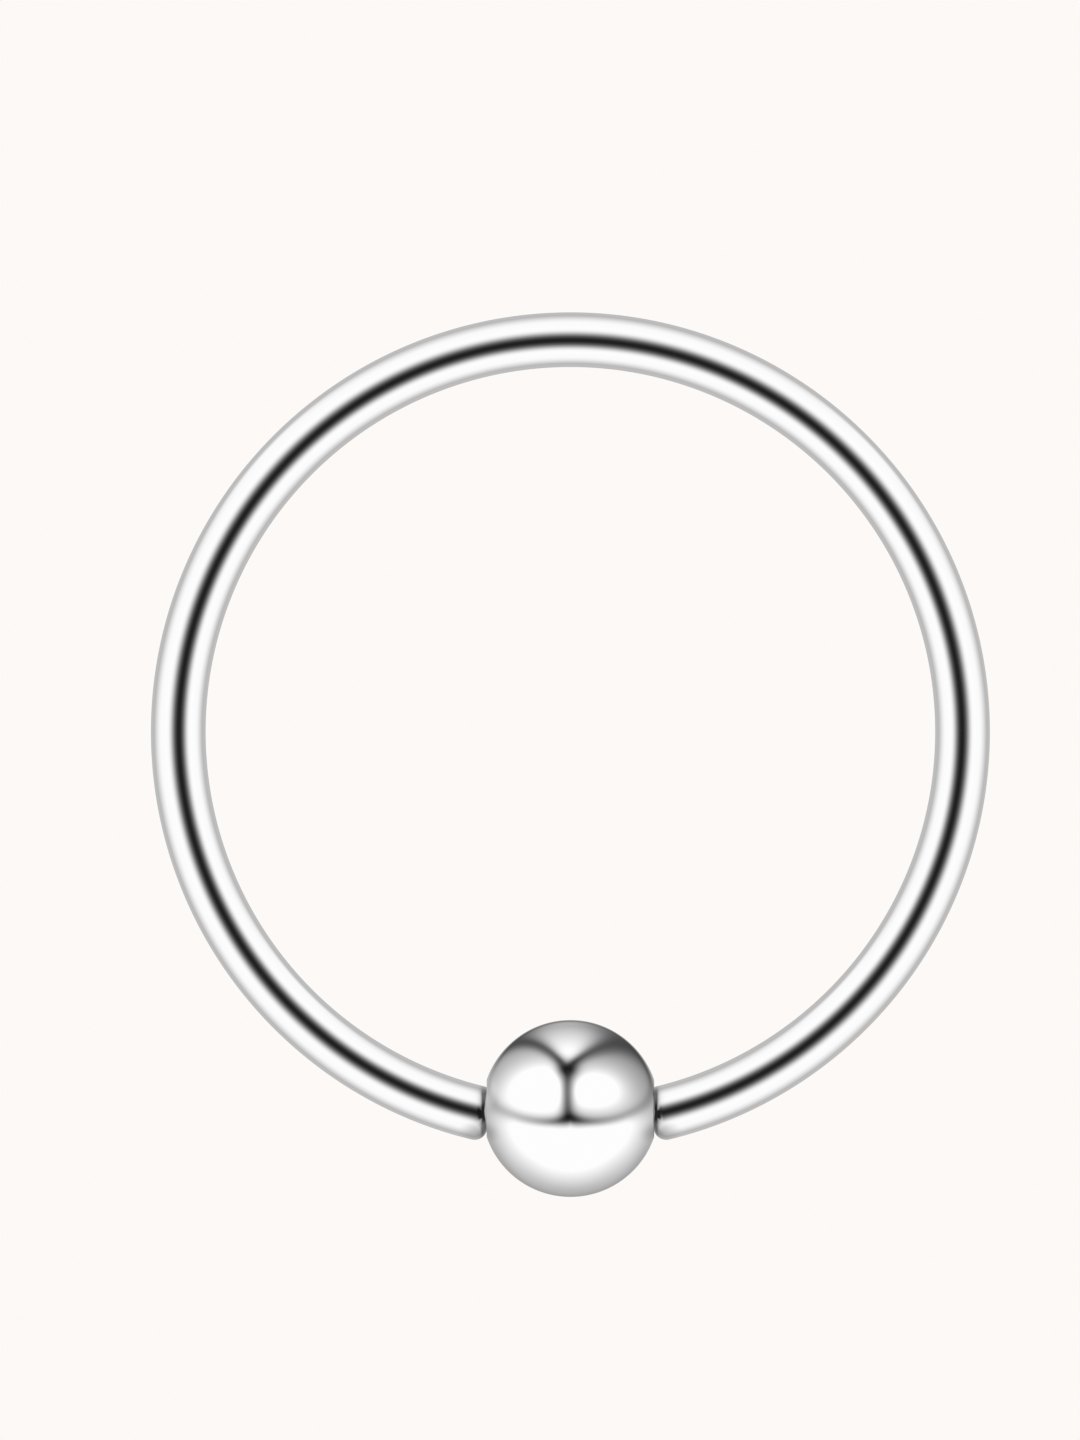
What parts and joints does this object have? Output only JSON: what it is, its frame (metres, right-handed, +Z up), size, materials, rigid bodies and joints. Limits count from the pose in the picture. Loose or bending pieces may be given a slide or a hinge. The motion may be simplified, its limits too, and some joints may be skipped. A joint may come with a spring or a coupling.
{
  "type": "nose ring",
  "caption": "Round wire hoop, open by a short gap, with a round bead held in the gap by the blunt wire ends standing in its dimples.",
  "frame": {"origin": "centre of the bounding box's underside, on the plane the ring rests on as it lies on its side", "axes": "+Y from the bead across to the far side of the hoop, +X along the bead's dimples, +Z up, close to square to the hoop"},
  "size_m": [0.0092, 0.0096, 0.0019],
  "materials": {
    "polished_silver": "mirror-polished silver"
  },
  "bodies": {
    "hoop": {"wire_hoop": "polished_silver"},
    "bead": {"captive_bead": "polished_silver"}
  },
  "joints": [
    {"name": "bead_spin", "type": "hinge", "parent": "hoop", "child": "bead", "pos_m": [0, -0.00387, 0.00097], "axis": [1, 0, 0], "continuous": true}
  ]
}
